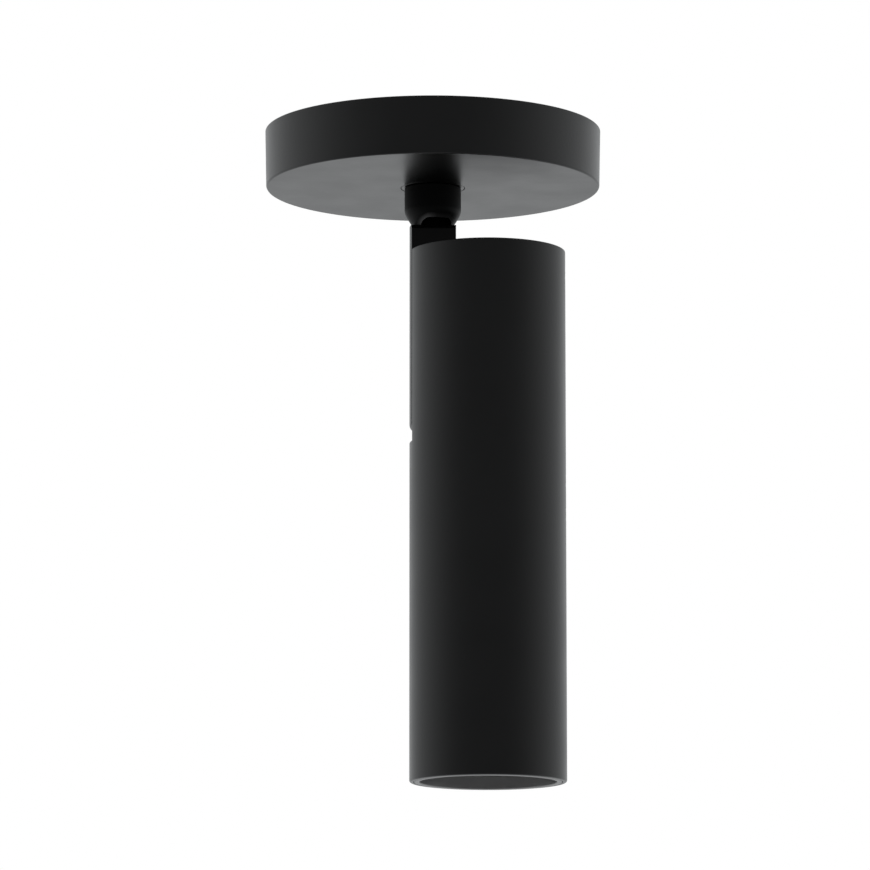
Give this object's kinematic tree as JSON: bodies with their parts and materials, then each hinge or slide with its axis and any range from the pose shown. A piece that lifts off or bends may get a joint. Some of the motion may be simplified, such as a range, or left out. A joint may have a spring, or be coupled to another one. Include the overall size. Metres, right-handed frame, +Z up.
{
  "type": "surface mounted ceiling spotlight",
  "caption": "Black cylindrical ceiling spotlight on a shallow round canopy, with a flush side arm that lets the slotted tube head turn and tilt.",
  "frame": {"origin": "centre of the ceiling face, on the canopy's axis, midway between the two ceiling screw slots", "axes": "+Z up into the ceiling; +Y away from the viewer of the picture and along the tilt axis; +X towards the tube's offset side"},
  "size_m": [0.12, 0.12, 0.2339],
  "materials": {
    "black_coat": "satin black powder coat",
    "black_coat_arm": "satin black powder coat, slightly smoother",
    "black_ring": "black coat inside the mouth, a little greyer",
    "black_inside": "matt black coat inside the tube",
    "zinc_steel": "bright zinc plated sheet steel",
    "plated_steel": "zinc plated turned steel",
    "black_steel": "black oxide steel",
    "nylon_black": "moulded black nylon",
    "nylon_white": "moulded natural nylon",
    "brass": "bright brass",
    "ceramic": "glazed white steatite ceramic",
    "cable_sheath": "black silicone cable sheath",
    "core_insulation": "silicone core insulation",
    "earth_insulation": "green and yellow core insulation",
    "lamp_shell": "white lamp body",
    "lamp_glass": "frosted lens"
  },
  "bodies": {
    "canopy": {"canopy_cover": "black_coat", "ceiling_bracket": "zinc_steel", "canopy_grub_screws": "black_steel", "terminal_block": "nylon_white", "terminal_clamps": "brass", "terminal_screws": "plated_steel", "terminal_fixing_screw": "plated_steel", "earth_washer": "plated_steel", "earth_screw": "plated_steel", "connection_leads": "core_insulation", "swivel_bush": "black_coat", "stop_pin": "plated_steel"},
    "neck_and_arm": {"neck_sleeve": "black_coat_arm", "threaded_nipple": "plated_steel", "pan_washer": "nylon_black", "stop_washer": "plated_steel", "pan_nut": "plated_steel", "arm": "black_coat_arm", "arm_cable": "cable_sheath"},
    "head": {"tube_housing": "black_coat", "top_cap": "black_inside", "lampholder_plate": "zinc_steel", "housing_screws": "black_steel", "hinge_bracket": "zinc_steel", "bracket_screws": "plated_steel", "friction_washers": "plated_steel", "hinge_washer": "plated_steel", "hinge_bolt": "plated_steel", "hinge_nut": "plated_steel", "lampholder": "ceramic", "lampholder_contacts": "brass", "lampholder_screws": "plated_steel", "head_cable": "cable_sheath", "lampholder_leads": "core_insulation", "head_earth_lead": "earth_insulation", "head_earth_lug": "brass", "head_earth_screw": "plated_steel", "lamp_body": "lamp_shell", "lamp_lens": "lamp_glass", "lamp_pins": "plated_steel", "retaining_ring": "black_ring", "ring_snap_ring": "plated_steel"}
  },
  "joints": [
    {"name": "pan", "type": "hinge", "parent": "canopy", "child": "neck_and_arm", "pos_m": [0, 0, -0.03], "axis": [0, 0, 1], "range_deg": [-165, 165]},
    {"name": "tilt", "type": "hinge", "parent": "neck_and_arm", "child": "head", "pos_m": [0, 0, -0.1044], "axis": [0, 1, 0], "range_deg": [0, 90], "deforming": ["head_cable"]}
  ]
}
